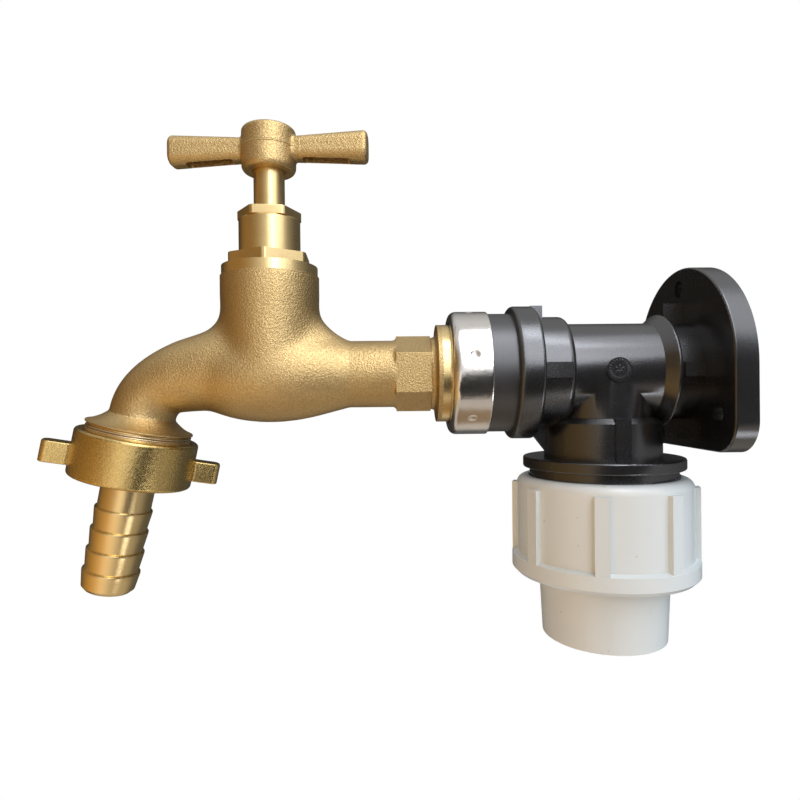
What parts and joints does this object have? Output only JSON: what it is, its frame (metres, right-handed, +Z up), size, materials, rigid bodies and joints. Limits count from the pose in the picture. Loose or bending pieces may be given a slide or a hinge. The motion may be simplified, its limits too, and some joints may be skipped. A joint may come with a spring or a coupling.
{
  "type": "garden tap",
  "caption": "Brass screw-down garden tap with a T handle and winged hose union, fixed to a moulded wall-plate elbow with a compression pipe socket.",
  "frame": {"origin": "centre of the wall plate's back face, on the axis of the tap's inlet", "axes": "+X into the wall, so the tap projects along -X; +Z up; the picture looks along +Y"},
  "size_m": [0.1736, 0.053, 0.1354],
  "materials": {
    "cast_brass": "satin sand-cast grain",
    "turned_brass": "fine turning lines",
    "tumbled_brass": "tumbled, satin",
    "plated_steel": "satin nickel",
    "black_polymer": "semi-gloss",
    "ivory_polymer": "semi-gloss",
    "white_polymer": "matte",
    "black_rubber": "matte",
    "red_fibre": "matte fibre"
  },
  "bodies": {
    "base": {"wall_elbow": "black_polymer", "reinforcing_ring": "plated_steel", "pipe_seal": "black_rubber", "tap_body": "cast_brass", "bonnet": "turned_brass", "bonnet_gasket": "red_fibre", "packing_washer": "turned_brass", "gland_packing": "white_polymer", "gland_nut": "turned_brass"},
    "valve": {"jumper": "turned_brass", "valve_washer": "black_rubber", "washer_nut": "plated_steel"},
    "spindle": {"spindle": "turned_brass", "handle": "cast_brass", "handle_screw": "plated_steel"},
    "hose_tail": {"hose_tail": "turned_brass", "outlet_gasket": "black_rubber"},
    "union_nut": {"union_nut": "tumbled_brass"},
    "pipe_grip": {"grip_ring": "white_polymer", "thrust_ring": "white_polymer"},
    "compression_nut": {"compression_nut": "ivory_polymer"}
  },
  "joints": [
    {"name": "valve_lift", "type": "slide", "parent": "base", "child": "valve", "axis": [0, 0, 1], "range_m": [0, 0.00625]},
    {"name": "spindle_turn", "type": "hinge", "parent": "valve", "child": "spindle", "pos_m": [-0.11546, 0, 0.05], "axis": [0, 0, 1], "range_deg": [0, 900]},
    {"name": "hose_tail_drop", "type": "slide", "parent": "base", "child": "hose_tail", "axis": [-0.2096, 0, -0.9778], "range_m": [0, 0.00544]},
    {"name": "union_nut_turn", "type": "hinge", "parent": "hose_tail", "child": "union_nut", "pos_m": [-0.15047, 0, -0.01374], "axis": [-0.2096, 0, -0.9778], "range_deg": [0, 1080]},
    {"name": "pipe_grip_drop", "type": "slide", "parent": "base", "child": "pipe_grip", "axis": [0, 0, -1], "range_m": [0, 0.012]},
    {"name": "compression_nut_turn", "type": "hinge", "parent": "pipe_grip", "child": "compression_nut", "pos_m": [-0.0267, 0, -0.04], "axis": [0, 0, -1], "range_deg": [0, 1080]}
  ],
  "couplings": [
    {"joint": "valve_lift", "follows": "spindle_turn", "m_per_rad": 0.00039789},
    {"joint": "hose_tail_drop", "follows": "union_nut_turn", "m_per_rad": 0.00028871},
    {"joint": "pipe_grip_drop", "follows": "compression_nut_turn", "m_per_rad": 0.00063662}
  ]
}
